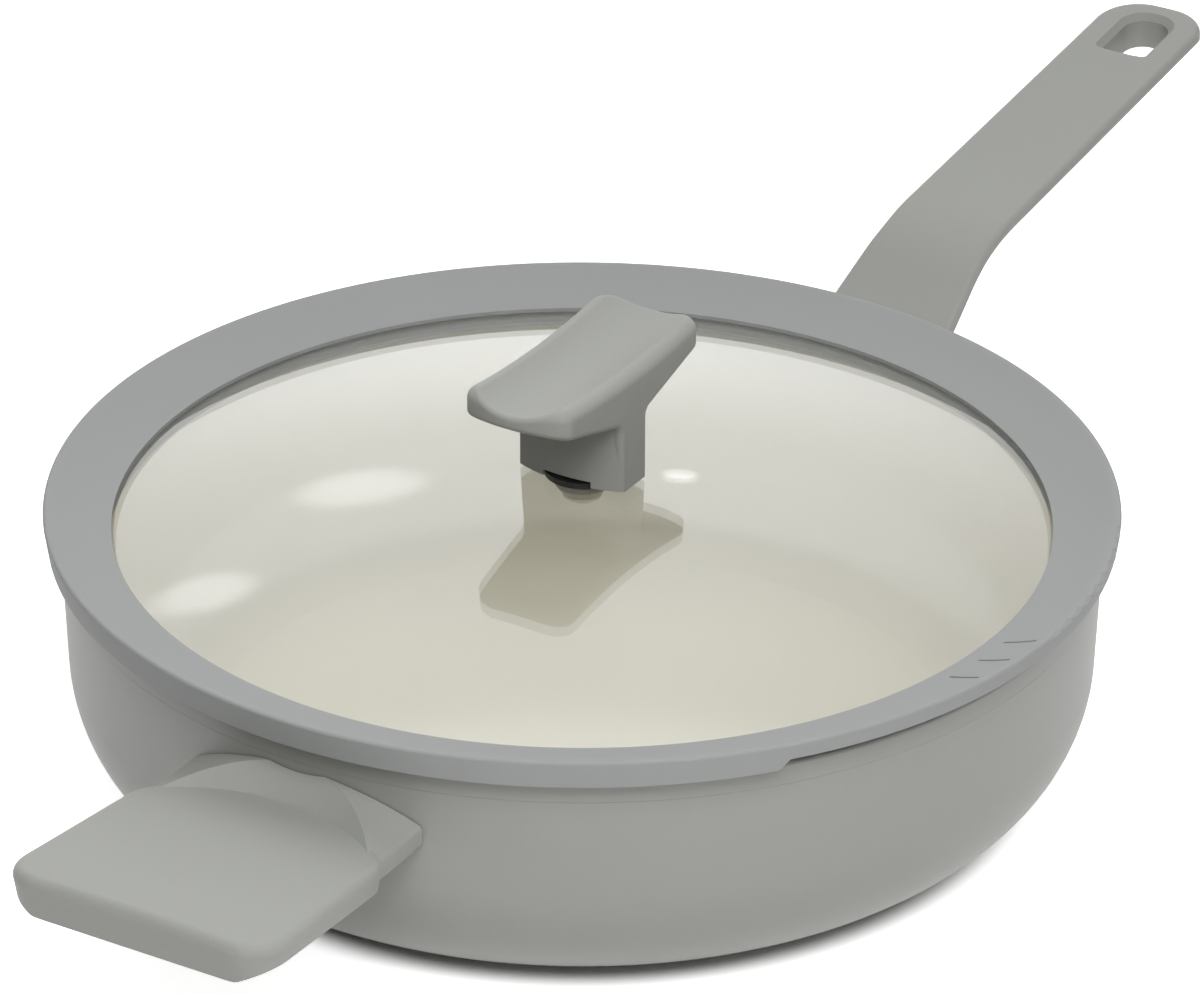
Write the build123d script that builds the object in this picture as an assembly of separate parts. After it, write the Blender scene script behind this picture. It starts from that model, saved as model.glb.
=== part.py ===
from build123d import *
from math import cos, radians, sin, sqrt, tan
import os

# All lengths are millimetres. The origin is the centre of the pan's base, on its
# underside. The long handle points along +X, the helper handle along -X, and +Z is up.

# Pan body, one forged aluminium shell
rim_radius = 142.3
pan_height = 72.3
wall = 3.0
wall_lean_share = 0.035
base_thickness = 5.0
base_corner_radius = 37.3
rim_round = 1.2
lip_line_drop = 6.4
lip_line_height = 0.7
lip_line_depth = 0.4

# Steel disc pressed into the base for induction hobs
plate_rim_margin = 50.3
plate_radius = rim_radius - plate_rim_margin
plate_thickness = 1.5
plate_hole_radius = 4.5
plate_ring_pitch = 26.0
plate_ring_count = 3
plate_holes_per_ring_step = 6

# Long handle, a soft-touch moulding with a steep root, a bend and a flat grip
handle_length = 206.9
handle_tip_x = rim_radius + handle_length
handle_root_top = 49.0
handle_tip_top = 95.6
handle_root_half_width = 22.5
handle_root_depth = 19.0
handle_tip_depth = 10.5
handle_edge_depth = 2.8
handle_tip_toe = 9.0
handle_root_bend = 30.0
handle_neck_bend = 64.0
handle_plan_bend = 90.0
handle_tip_corner = 14.0
handle_top_edge_round = 2.0
handle_low_edge_round = 1.0
undercut_share = 1.2
hang_hole_length = 24.0
hang_hole_width = 14.4
hang_hole_tip_margin = 8.0
hang_hole_near_round = 2.5
hang_hole_far_round = 6.4
hang_hole_bevel = 1.8
grip_wall_gap = 0.3

# Long handle bracket, a welded foot with a tang that runs up inside the root
tang_angle = 26.0
tang_length = 46.0
tang_width = 22.0
tang_thickness = 4.0
tang_root_z = 40.0
foot_thickness = 3.0
long_foot_width = 22.0
long_foot_height = 11.0
pocket_clearance = 0.15
long_screw_reach = 24.0
long_screw_radius = 2.5
long_screw_head_radius = 4.6
long_screw_head_height = 3.2
long_screw_seat_depth = 2.6
long_screw_tail = 2.0
long_washer_radius = 5.0
long_washer_thickness = 1.0
counterbore_clearance = 0.4

# Helper handle, a wide moulded pad with a crowned neck and a shallow dished top
helper_length = 78.0
helper_end_x = rim_radius + helper_length
helper_half_width = 41.8
helper_flare_half_width = 39.4
helper_bottom_half_width = 31.0
helper_end_top = 61.6
helper_top_rise_share = 0.065
helper_end_depth = 12.4
helper_root_depth = 14.5
helper_crown = 1.2
helper_corner_radius = 12.0
helper_edge_round = 2.2
helper_rim_round = 2.8
helper_side_draft = 9.0
neck_half_width = 35.2
neck_length = 8.4
neck_flare_length = 9.0
neck_top = 64.6
neck_crown = 9.6
neck_depth = 22.5
neck_bottom_half_width = 27.0
neck_edge_round = 2.2
pad_neck_inset = 5.2
pad_neck_round = 3.0
dish_radius = 57.0
dish_wall_gap = 5.6
dish_near_x = rim_radius + dish_wall_gap
dish_wall_angle = 38.0

# Roundings of both handles' sections and screw heads, as shares of a named edge or height
belt_drop_share = 2.6
belt_round_share = 1.6
low_round_share = 2.0
screw_head_round_share = 0.3
socket_sides = 6

# Helper handle bracket, a welded foot with a flat tab held by two screws
tab_length = 48.0
tab_width = 46.0
tab_thickness = 3.0
tab_z = 52.9
tab_corner_radius = 6.0
helper_foot_width = 44.0
helper_foot_height = 9.0
helper_screw_reach = 27.7
helper_screw_x = rim_radius + helper_screw_reach
helper_screw_pitch = 28.0
helper_screw_radius = 2.0
helper_screw_head_radius = 3.8
helper_screw_head_height = 2.4
helper_screw_seat_depth = 1.6
helper_screw_tail = 1.4
helper_washer_radius = 4.2
helper_washer_thickness = 0.8

# Silicone rim of the lid, moulded around the glass edge
ring_overhang = 4.7
ring_foot_inset = 1.2
ring_width = 18.6
ring_outer_radius = rim_radius + ring_overhang
ring_foot_radius = ring_outer_radius - ring_foot_inset
ring_inner_radius = ring_outer_radius - ring_width
ring_rise = 8.7
ring_slope_drop = 6.75
ring_top = pan_height + ring_rise
ring_inner_top = ring_top - ring_slope_drop
ring_top_sag = 0.5
ring_edge_round = 0.9
lid_seat_gap = 0.2
lid_wall_clearance = 0.6
ring_lip_drop = 7.0
ring_lip_chamfer = 1.2
ring_lip_inset = 0.6
strain_angle = -98.1
strain_half_span = 29.3
strain_height = 3.0
strain_channel = 3.5
strain_end_run = 3.0
mark_count = 3
mark_length = 10.7
mark_width = 1.0
mark_depth = 0.5
mark_spacing = 12.4
mark_shift_angle = 0.3

# Domed glass of the lid, held by its edge in the rim
glass_grip = 5.6
glass_edge_drop = 2.45
glass_thickness = 4.0
glass_dome_radius = 576.0
glass_hole_radius = 5.0
glass_edge_round = 1.6
glass_radius = ring_inner_radius + glass_grip
glass_dome_rise = glass_dome_radius - sqrt(glass_dome_radius**2 - glass_radius**2)
glass_top = ring_inner_top - glass_edge_drop + glass_dome_rise

# Knob, a crossbar on a barrel-shaped stem
knob_length = 77.0
knob_width = 33.0
knob_end_bow = 4.4
knob_end_round = 5.0
knob_base_gap = 0.5
knob_height = 36.6
knob_base_z = glass_top + knob_base_gap
knob_crest_end = knob_base_z + knob_height
knob_saddle = 2.6
knob_valley_depth = 3.8
knob_valley_half_width = 12.5
knob_tip_depth = 7.8
knob_wing_rise = 9.0
knob_tip_underside = knob_crest_end - knob_tip_depth
wing_root_underside = knob_tip_underside - knob_wing_rise
wing_root_x = 14.0
stem_half_foot = 5.5
stem_half_top = 6.8
stem_barrel_half = 8.8
wing_fillet = 2.5
knob_edge_round = 3.2
knob_under_round = 1.8
knob_lip_round = 1.2
knob_wall = 2.6
knob_cavity_depth = 9.0
knob_boss_radius = 7.6
knob_notch_width = 15.0
knob_notch_height = 1.8

# Lid hardware on the lid's axis
insert_radius = 4.8
insert_length = 14.0
insert_bore_clearance = 0.05
lid_screw_radius = 2.9
lid_screw_head_radius = 5.6
lid_screw_head_height = 3.2
lid_screw_engagement = 9.0
knob_washer_radius = 10.4
knob_washer_thickness = 1.6
seal_radius = 7.5
seal_thickness = 1.5
lid_washer_radius = 6.8
lid_washer_thickness = 1.0
washer_bore_clearance = 0.2
seal_gap = 0.1

# Every cut runs this far past the face that it opens
overrun = 5.0

# Long handle outline. x is a share of the run from the wall's inside to the tip, z a
# share of the rise from the root to the tip and width a share of the root's half width.
top_line_shares = [(0.0, 0.0), (0.089, 0.1), (0.297, 0.633), (1.0, 1.0)]
low_line_shares = [(0.0, 0.0), (0.127, 0.17), (0.318, 0.663), (1.0, 1.0)]
width_shares = [(0.0, 1.0), (0.18, 0.9), (0.297, 0.785), (1.0, 0.755)]


def wall_radius(z, gap=0):
    """Outer radius of the pan's leaning wall at height z."""
    return rim_radius + gap - wall_lean_share * (pan_height - z)


def on_xz(sketch):
    """Stand a flat sketch up in the XZ plane."""
    return Plane.XZ * sketch


def turned(sketch):
    """Revolve a half profile drawn as radius and height about the pan's axis."""
    return revolve(on_xz(sketch), Axis.Z)


def outline(points):
    """Closed face through straight-line points."""
    return make_face(Polyline(*points, close=True))


def round_corner(sketch, point, radius):
    """Round the corner of a sketch that lies nearest to a point."""
    corner = sketch.vertices().sort_by_distance((point[0], point[1], 0))[0]
    return fillet(corner, radius)


def both_sides(sketch, half_width):
    """Extrude an XZ profile evenly to both sides of the symmetry plane."""
    return extrude(Pos(0, half_width, 0) * on_xz(sketch), 2 * half_width)


def pan_envelope(gap, top):
    """Solid of the pan's outside, grown outwards by a gap, up to a given height."""
    toe = (wall_radius(0, gap), 0)
    shape = outline([(0, 0), toe, (wall_radius(top, gap), top), (0, top)])
    return turned(round_corner(shape, toe, base_corner_radius + gap))


def make_induction_plate():
    """Perforated steel disc, flush with the underside of the base."""
    plate = Pos(0, 0, plate_thickness / 2) * Cylinder(plate_radius, plate_thickness)
    for ring in range(1, plate_ring_count + 1):
        holes = PolarLocations(ring * plate_ring_pitch, ring * plate_holes_per_ring_step)
        plate -= holes * Cylinder(plate_hole_radius, 2 * overrun)
    return plate


def make_pan_body(plate):
    """Shell with a rounded base corner, a fine lip line and the disc pressed in."""
    toe = (wall_radius(0), 0)
    inner_toe = (wall_radius(base_thickness) - wall, base_thickness)
    rim_outer = (rim_radius, pan_height)
    rim_inner = (rim_radius - wall, pan_height)
    shape = outline([(0, 0), toe, rim_outer, rim_inner, inner_toe, (0, base_thickness)])
    shape = round_corner(shape, toe, base_corner_radius)
    shape = round_corner(shape, inner_toe, base_corner_radius - wall)
    shape = round_corner(shape, rim_outer, rim_round)
    shape = round_corner(shape, rim_inner, rim_round)
    line_z = pan_height - lip_line_drop
    line_radius = wall_radius(line_z)
    groove = outline([
        (line_radius - lip_line_depth, line_z),
        (line_radius + overrun, line_z - lip_line_height / 2),
        (line_radius + overrun, line_z + lip_line_height / 2),
    ])
    return turned(shape) - turned(groove) - plate


def handle_x(share):
    """Place along the long handle, from the wall's inside to the tip."""
    root = rim_radius - wall
    return root + share * (handle_tip_x - root)


def handle_line(shares, root_z, tip_z):
    """Points of one edge of the long handle's side view."""
    return [(handle_x(x), root_z + z * (tip_z - root_z)) for x, z in shares]


def long_handle_side():
    """Side view of the long handle, with a bend at the root and one at the neck."""
    top = handle_line(top_line_shares, handle_root_top, handle_tip_top)
    low = handle_line(low_line_shares, handle_root_top - handle_root_depth,
                      handle_tip_top - handle_tip_depth)
    bends = [handle_root_bend, handle_neck_bend]
    edges = FilletPolyline(*top, radius=bends).edges()
    edges += FilletPolyline(*low, radius=bends).edges()
    edges += [Line(top[-1], low[-1]), Line(top[0], low[0])]
    side = make_face(edges)
    toe = [
        (handle_tip_x + overrun, handle_tip_top - handle_edge_depth + undercut_share * overrun),
        (handle_tip_x - handle_tip_toe, handle_tip_top - handle_edge_depth - undercut_share * handle_tip_toe),
        (handle_tip_x + overrun, handle_tip_top - handle_edge_depth - undercut_share * handle_tip_toe),
    ]
    return side - outline(toe)


def at_share(shares, x):
    """Value of a table of shares at a place between two of its rows."""
    rows = zip(shares[:-1], shares[1:])
    return next(a[1] + (x - a[0]) / (b[0] - a[0]) * (b[1] - a[1]) for a, b in rows if x <= b[0])


def long_handle_keel():
    """Solid whose undersides slope in from both edges of the long handle."""
    rise = handle_tip_top - handle_root_top
    places = sorted({x for x, share in top_line_shares + width_shares})
    low = []
    for x in places:
        edge = handle_root_top + rise * at_share(top_line_shares, x) - handle_edge_depth
        low.append((handle_x(x), edge - undercut_share * handle_root_half_width * at_share(width_shares, x)))
    high = handle_tip_top + 2 * overrun
    bends = [handle_root_bend] + [handle_neck_bend] * (len(places) - 3)
    edges = FilletPolyline(*low, radius=bends).edges()
    edges += Polyline(low[-1], (low[-1][0], high), (low[0][0], high), low[0]).edges()
    profile = on_xz(make_face(edges))
    reach = 2 * handle_root_half_width * sqrt(1 + undercut_share * undercut_share)
    return (extrude(profile, reach, dir=(0, 1, undercut_share))
            + extrude(profile, reach, dir=(0, -1, undercut_share)))


def long_handle_plan():
    """Plan of the long handle, with a slight waist and a round-cornered end."""
    half = [(handle_x(x), width * handle_root_half_width) for x, width in width_shares]
    mirrored = [(x, -y) for x, y in reversed(half)]
    bends = [handle_plan_bend] * (len(half) - 2)
    corners = bends + [handle_tip_corner, handle_tip_corner] + bends
    edges = FilletPolyline(*half, *mirrored, radius=corners).edges()
    edges += [Line(half[0], mirrored[-1])]
    return make_face(edges)


def outer_edges(solid, root_x):
    """Edges where the top meets the side walls, past the root."""
    top = solid.faces().filter_by(lambda face: face.normal_at().Z > abs(face.normal_at().Y)
                                  and face.normal_at().Z > abs(face.normal_at().X))
    walls = solid.faces() - top
    walls = walls.filter_by(lambda face: face.bounding_box().max.X > root_x)
    return top.edges() & walls.filter_by(lambda face: abs(face.normal_at().Z) < wall_lean_share).edges()


def hang_hole(bevel):
    """Opening near the tip, grown by a bevel everywhere but at its edge towards the pan."""
    far = handle_tip_x - hang_hole_tip_margin + bevel
    near = handle_tip_x - hang_hole_tip_margin - hang_hole_length
    side = hang_hole_width / 2 + bevel
    shape = outline([(near, -side), (far, -side), (far, side), (near, side)])
    for y in (-side, side):
        shape = round_corner(shape, (near, y), hang_hole_near_round)
        shape = round_corner(shape, (far, y), hang_hole_far_round + bevel)
    return shape


def hang_hole_cut():
    """The opening right through the grip, with a bevel sunk into its top face."""
    top = handle_line(top_line_shares, handle_root_top, handle_tip_top)
    slope = (top[-1][1] - top[-2][1]) / (top[-1][0] - top[-2][0])
    face = Plane(origin=(handle_tip_x, 0, handle_tip_top), x_dir=(1, 0, slope), z_dir=(-slope, 0, 1))
    low = Pos(-handle_tip_x, 0, -hang_hole_bevel) * hang_hole(0)
    high = Pos(-handle_tip_x, 0, hang_hole_bevel) * hang_hole(2 * hang_hole_bevel)
    return extrude(hang_hole(0), handle_tip_top + overrun) + face * loft([low, high])


def tang_plane():
    """Plane of the long handle's tang, its origin at the screw and z across the tang."""
    along = Vector(cos(radians(tang_angle)), 0, sin(radians(tang_angle)))
    across = Vector(-sin(radians(tang_angle)), 0, cos(radians(tang_angle)))
    start = Vector(wall_radius(tang_root_z), 0, tang_root_z)
    return Plane(origin=start + along * long_screw_reach, x_dir=along, z_dir=across)


def tang(clearance):
    """The tang's bar, grown by a clearance on every side."""
    length = tang_length + foot_thickness + 2 * clearance
    middle = (tang_length - foot_thickness) / 2 - long_screw_reach
    bar = Box(length, tang_width + 2 * clearance, tang_thickness + 2 * clearance)
    return tang_plane() * Pos(middle, 0, 0) * bar


def wall_foot(side, width, height, middle_z, clearance):
    """Plate that hugs the pan's wall, on the side given by +1 or -1."""
    shell = pan_envelope(foot_thickness + clearance, pan_height) - pan_envelope(0, pan_height)
    block = Box(rim_radius, width + 2 * clearance, height + 2 * clearance)
    return shell & Pos(side * rim_radius, 0, middle_z) * block


def make_long_handle_bracket(screw_cut):
    """Steel foot welded to the wall, with the tang that carries the handle."""
    foot = wall_foot(1, long_foot_width, long_foot_height, tang_root_z, 0)
    bar = tang(0) - pan_envelope(0, pan_height)
    return foot + bar - screw_cut


def long_screw_seat():
    """Distance from the tang's middle down to the face that the washer rests on."""
    return tang_thickness / 2 + long_screw_seat_depth


def long_screw_body(radius):
    """The threaded shank, from under the head to past the tang."""
    low = -long_screw_seat() - long_washer_thickness
    high = tang_thickness / 2 + long_screw_tail
    return tang_plane() * Pos(0, 0, (low + high) / 2) * Cylinder(radius, high - low)


def make_long_handle_screw():
    """Round-headed screw with a hexagon socket, driven from below."""
    head_top = -long_screw_seat() - long_washer_thickness
    head = Cylinder(long_screw_head_radius, long_screw_head_height)
    head = fillet(head.edges().sort_by(Axis.Z)[0], screw_head_round_share * long_screw_head_height)
    socket = extrude(RegularPolygon(long_screw_radius, socket_sides), long_screw_head_height / 2)
    head -= Pos(0, 0, -long_screw_head_height / 2) * socket
    head = tang_plane() * Pos(0, 0, head_top - long_screw_head_height / 2) * head
    return head + long_screw_body(long_screw_radius)


def make_long_handle_washer():
    """Flat washer between the screw's head and the moulding."""
    middle = -long_screw_seat() - long_washer_thickness / 2
    disc = Cylinder(long_washer_radius, long_washer_thickness)
    disc -= Cylinder(long_screw_radius + washer_bore_clearance, long_washer_thickness)
    return tang_plane() * Pos(0, 0, middle) * disc


def make_long_handle():
    """Moulding cut from its side view and plan, with pocket, screw hole and hang hole."""
    handle = both_sides(long_handle_side(), 2 * handle_root_half_width)
    handle &= extrude(long_handle_plan(), handle_tip_top + overrun)
    handle = handle.solid()
    past_root = rim_radius + overrun
    handle = fillet(outer_edges(handle, past_root), handle_top_edge_round)
    keeled = handle & long_handle_keel()
    creases = new_edges(handle, combined=keeled).filter_by(lambda edge: edge.center().X > past_root)
    handle = fillet(creases, handle_low_edge_round)
    handle -= hang_hole_cut()
    handle -= pan_envelope(grip_wall_gap, pan_height)
    handle -= tang(pocket_clearance)
    handle -= wall_foot(1, long_foot_width, long_foot_height, tang_root_z, pocket_clearance)
    handle -= long_screw_body(long_screw_radius + washer_bore_clearance)
    bore_radius = long_washer_radius + counterbore_clearance
    bore_depth = handle_root_depth
    bore = Pos(0, 0, -long_screw_seat() - bore_depth / 2) * Cylinder(bore_radius, bore_depth)
    return handle - tang_plane() * bore


def helper_top(x):
    """Height of the helper pad's flat top at a distance x from the pan's axis."""
    return helper_end_top - helper_top_rise_share * (helper_end_x - x)


def crowned_section(half_top, half_bottom, top, depth, crown, edge_round):
    """Cross-section seen along X, with an arched top and sides that draw in below."""
    low = top - depth
    edge = top - crown
    belt = edge - belt_drop_share * edge_round
    shape = make_face([
        ThreePointArc((half_top, edge), (0, top), (-half_top, edge)),
        Line((-half_top, edge), (-half_top, belt)),
        Line((-half_top, belt), (-half_bottom, low)),
        Line((-half_bottom, low), (half_bottom, low)),
        Line((half_bottom, low), (half_top, belt)),
        Line((half_top, belt), (half_top, edge)),
    ])
    for side in (-1, 1):
        shape = round_corner(shape, (side * half_top, belt), belt_round_share * edge_round)
        shape = round_corner(shape, (side * half_bottom, low), low_round_share * edge_round)
    return shape


def helper_plan(half_width, inner_x, outer_x, corner_radius):
    """Plan of a block on the helper side, between two distances from the axis."""
    shape = outline([
        (-inner_x, -half_width), (-outer_x, -half_width),
        (-outer_x, half_width), (-inner_x, half_width),
    ])
    for side in (-1, 1):
        shape = round_corner(shape, (-outer_x, side * half_width), corner_radius)
    return shape


def helper_dish():
    """Dish whose sloping wall leaves the ramp between the pad and the neck."""
    slope = helper_top_rise_share
    centre_x = dish_near_x + dish_radius
    sink = 2 * helper_crown
    spread = tan(radians(dish_wall_angle))
    low_radius = dish_radius - sink * spread
    high_radius = dish_radius + neck_top * spread
    cone = Cone(low_radius, high_radius, sink + neck_top, align=(Align.CENTER, Align.CENTER, Align.MIN))
    tilt = Plane(
        origin=(-centre_x, 0, helper_top(centre_x) - sink),
        x_dir=(1, 0, -slope),
        z_dir=(slope, 0, 1),
    )
    return tilt * cone


def helper_pad():
    """The part that the hand holds, with a slightly crowned and rising top."""
    inner_x = dish_near_x
    length = helper_end_x - inner_x
    near = crowned_section(helper_half_width, helper_bottom_half_width, helper_top(inner_x),
                           helper_root_depth - helper_top_rise_share * length / 2,
                           helper_crown, helper_edge_round)
    far = crowned_section(helper_half_width, helper_bottom_half_width, helper_end_top,
                          helper_end_depth, helper_crown, helper_edge_round)
    ends = [Pos(-inner_x, 0, 0) * (Plane.YZ * near), Pos(-helper_end_x, 0, 0) * (Plane.YZ * far)]
    block = loft(ends)
    neck_x = rim_radius + neck_length
    flare_x = neck_x + neck_flare_length
    neck_side = neck_half_width - pad_neck_inset
    plan = make_face(Polyline(
        (-inner_x, -neck_side), (-neck_x, -neck_side), (-flare_x, -helper_flare_half_width),
        (-helper_end_x, -helper_half_width), (-helper_end_x, helper_half_width),
        (-flare_x, helper_flare_half_width), (-neck_x, neck_side), (-inner_x, neck_side),
        close=True,
    ))
    for side in (-1, 1):
        plan = round_corner(plan, (-helper_end_x, side * helper_half_width), helper_corner_radius)
        plan = round_corner(plan, (-flare_x, side * helper_flare_half_width), helper_corner_radius)
        plan = round_corner(plan, (-neck_x, side * neck_side), pad_neck_round)
    pad = block & extrude(Pos(0, 0, helper_end_top) * plan, -2 * helper_root_depth, taper=helper_side_draft)
    rim = pad.faces().sort_by(Axis.Z)[-1].edges()
    return fillet(rim - rim.sort_by(Axis.X)[-1:], helper_rim_round)


def helper_neck():
    """The thicker root that hugs the wall, arched across and ramped by the dish."""
    outer_x = rim_radius + neck_length + neck_flare_length
    section = crowned_section(neck_half_width, neck_bottom_half_width, neck_top,
                              neck_depth, neck_crown, neck_edge_round)
    for side in (-1, 1):
        section = round_corner(section, (side * neck_half_width, neck_top - neck_crown), neck_edge_round)
    return extrude(Plane.YZ * section, -outer_x)


def helper_screw_places():
    """The two screw axes, at the height of the tab's middle."""
    return [Pos(-helper_screw_x, side * helper_screw_pitch / 2, tab_z) for side in (-1, 1)]


def helper_screw_seat():
    """Distance from the tab's middle down to the face that the washers rest on."""
    return tab_thickness / 2 + helper_screw_seat_depth


def helper_tab(clearance):
    """Flat tab from the wall into the pad, grown by a clearance."""
    outer_x = wall_radius(tab_z) + tab_length + clearance
    plan = helper_plan(tab_width / 2 + clearance, rim_radius - 2 * wall, outer_x, tab_corner_radius)
    low = tab_z - tab_thickness / 2 - clearance
    return Pos(0, 0, low) * extrude(plan, tab_thickness + 2 * clearance)


def helper_screw_shank(radius):
    """One threaded shank at the origin, which lies in the tab's middle."""
    low = -helper_screw_seat() - helper_washer_thickness
    high = tab_thickness / 2 + helper_screw_tail
    return Pos(0, 0, (low + high) / 2) * Cylinder(radius, high - low)


def make_helper_handle():
    """Pad and neck in one moulding, with the tab's pocket and two screw holes."""
    handle = (helper_neck() - helper_dish()) + helper_pad()
    handle -= pan_envelope(grip_wall_gap, pan_height)
    handle -= helper_tab(pocket_clearance)
    handle -= wall_foot(-1, helper_foot_width, helper_foot_height, tab_z, pocket_clearance)
    bore_radius = helper_washer_radius + counterbore_clearance
    bore_depth = helper_root_depth
    bore = Pos(0, 0, -helper_screw_seat() - bore_depth / 2) * Cylinder(bore_radius, bore_depth)
    for place in helper_screw_places():
        handle -= place * helper_screw_shank(helper_screw_radius + washer_bore_clearance)
        handle -= place * bore
    return handle


def make_helper_bracket():
    """Steel foot welded to the wall, with a tab and two threaded holes."""
    foot = wall_foot(-1, helper_foot_width, helper_foot_height, tab_z, 0)
    bracket = foot + (helper_tab(0) - pan_envelope(0, pan_height))
    for place in helper_screw_places():
        bracket -= place * Cylinder(helper_screw_radius, 2 * tab_thickness)
    return bracket


def make_helper_screws():
    """Two round-headed screws with hexagon sockets."""
    head = Cylinder(helper_screw_head_radius, helper_screw_head_height)
    head = fillet(head.edges().sort_by(Axis.Z)[0], screw_head_round_share * helper_screw_head_height)
    socket = extrude(RegularPolygon(helper_screw_radius, socket_sides), helper_screw_head_height / 2)
    head -= Pos(0, 0, -helper_screw_head_height / 2) * socket
    drop = helper_screw_seat() + helper_washer_thickness + helper_screw_head_height / 2
    screw = Pos(0, 0, -drop) * head + helper_screw_shank(helper_screw_radius)
    return Compound(children=[place * screw for place in helper_screw_places()])


def make_helper_washers():
    """Two flat washers under the screws' heads."""
    middle = -helper_screw_seat() - helper_washer_thickness / 2
    disc = Cylinder(helper_washer_radius, helper_washer_thickness)
    disc -= Cylinder(helper_screw_radius + washer_bore_clearance, helper_washer_thickness)
    return Compound(children=[place * Pos(0, 0, middle) * disc for place in helper_screw_places()])


def dome_z(radius, depth=0):
    """Height of the glass at a radius, some depth below its top face."""
    sphere = glass_dome_radius - depth
    return glass_top - glass_dome_radius + sqrt(sphere * sphere - radius * radius)


def make_glass_lid():
    """Domed disc of even thickness with a centre hole and a ground edge."""
    middle = glass_radius / 2
    low_hole = (glass_hole_radius, dome_z(glass_hole_radius, glass_thickness))
    low_edge = (glass_radius, dome_z(glass_radius, glass_thickness))
    top_edge = (glass_radius, dome_z(glass_radius))
    top_hole = (glass_hole_radius, dome_z(glass_hole_radius))
    shape = make_face([
        Line(top_hole, low_hole),
        ThreePointArc(low_hole, (middle, dome_z(middle, glass_thickness)), low_edge),
        Line(low_edge, top_edge),
        ThreePointArc(top_edge, (middle, dome_z(middle)), top_hole),
    ])
    shape = round_corner(shape, low_edge, glass_edge_round)
    shape = round_corner(shape, top_edge, glass_edge_round)
    return turned(shape)


def ring_top_z(radius):
    """Height of the silicone rim's sloping top face at a radius."""
    share = (radius - ring_inner_radius) / (ring_outer_radius - ring_inner_radius)
    return ring_inner_top + share * (ring_top - ring_inner_top)


def make_silicone_rim(glass):
    """Rim with a sloping top, a lip inside the pan, a strain gap and three marks."""
    seat = pan_height + lid_seat_gap
    lip_radius = rim_radius - wall - lid_wall_clearance
    lip_low = seat - ring_lip_drop
    middle = (ring_inner_radius + ring_outer_radius) / 2
    inner_top = (ring_inner_radius, ring_inner_top)
    outer_top = (ring_outer_radius, ring_top)
    outer_low = (ring_foot_radius, seat)
    shape = make_face([
        ThreePointArc(inner_top, (middle, ring_top_z(middle) - ring_top_sag), outer_top),
        Line(outer_top, outer_low),
        Line(outer_low, (lip_radius, seat)),
        Line((lip_radius, seat), (lip_radius, lip_low + ring_lip_chamfer)),
        Line((lip_radius, lip_low + ring_lip_chamfer), (lip_radius - ring_lip_chamfer, lip_low)),
        Line((lip_radius - ring_lip_chamfer, lip_low), (ring_inner_radius + ring_lip_inset, lip_low)),
        Line((ring_inner_radius + ring_lip_inset, lip_low), inner_top),
    ])
    shape = round_corner(shape, outer_top, ring_edge_round)
    rim = turned(shape) - strain_cut(seat, lip_radius)
    rim -= glass
    for index in range(mark_count):
        rim -= mark(index)
    return rim


def strain_cut(seat, lip_radius):
    """Sector that is open below and slants at its ends, so liquid runs out over the pan's rim."""
    inner = lip_radius - strain_channel
    outer = ring_outer_radius + overrun
    high = seat + strain_height
    low = seat - ring_lip_drop - overrun
    profile = outline([(inner, low), (outer, low), (outer, high), (inner, high)])
    cut = revolve(on_xz(profile), Axis.Z, 2 * strain_half_span)
    cut = Rot(0, 0, strain_angle - strain_half_span) * cut
    for way in (-1, 1):
        end = strain_angle + way * strain_half_span
        run = way * strain_end_run
        slant = outline([(-run, low), (run, low), (run, seat), (0, high), (-run, high)])
        across = Plane(origin=(inner, 0, 0), x_dir=(0, 1, 0), z_dir=(1, 0, 0))
        cut += Rot(0, 0, end) * (across * extrude(slant, outer - inner))
    return cut


def mark(index):
    """One engraved radial line on the rim's top face."""
    radius = (ring_inner_radius + ring_outer_radius) / 2 + mark_width
    step = mark_spacing / radius / radians(1)
    angle = strain_angle + mark_shift_angle + (index - (mark_count - 1) / 2) * step
    rise = ring_top - ring_inner_top
    run = ring_outer_radius - ring_inner_radius
    slot = Box(mark_length, mark_width, 2 * mark_depth)
    face = Plane(
        origin=(radius, 0, ring_top_z(radius) - ring_top_sag),
        x_dir=(run, 0, rise),
        z_dir=(-rise, 0, run),
    )
    return Rot(0, 0, angle) * (face * slot)


def knob_side():
    """Side view of the knob, a T with rounded inner corners and a sagging top."""
    half = knob_length / 2
    crest = ThreePointArc((half, knob_crest_end), (0, knob_crest_end - knob_saddle), (-half, knob_crest_end))
    right = [
        (stem_half_foot, knob_base_z),
        (stem_half_top, wing_root_underside),
        (half, knob_tip_underside),
        (half, knob_crest_end),
    ]
    left = [(-x, z) for x, z in right]
    edges = Polyline(*right).edges() + Polyline(*left).edges()
    edges += [Line(right[0], left[0]), crest]
    shape = make_face(edges)
    for x, z in (right[1], left[1]):
        shape = round_corner(shape, (x, z), wing_fillet)
    return shape


def stem_plan(inset):
    """Plan of the stem, flat at the sides and bulging towards the wings."""
    side = knob_width / 2 - inset
    foot = stem_half_foot - inset / 2
    belly = stem_barrel_half - inset
    return make_face([
        Line((foot, -side), (-foot, -side)),
        ThreePointArc((-foot, -side), (-belly, 0), (-foot, side)),
        Line((-foot, side), (foot, side)),
        ThreePointArc((foot, side), (belly, 0), (foot, -side)),
    ])


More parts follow.
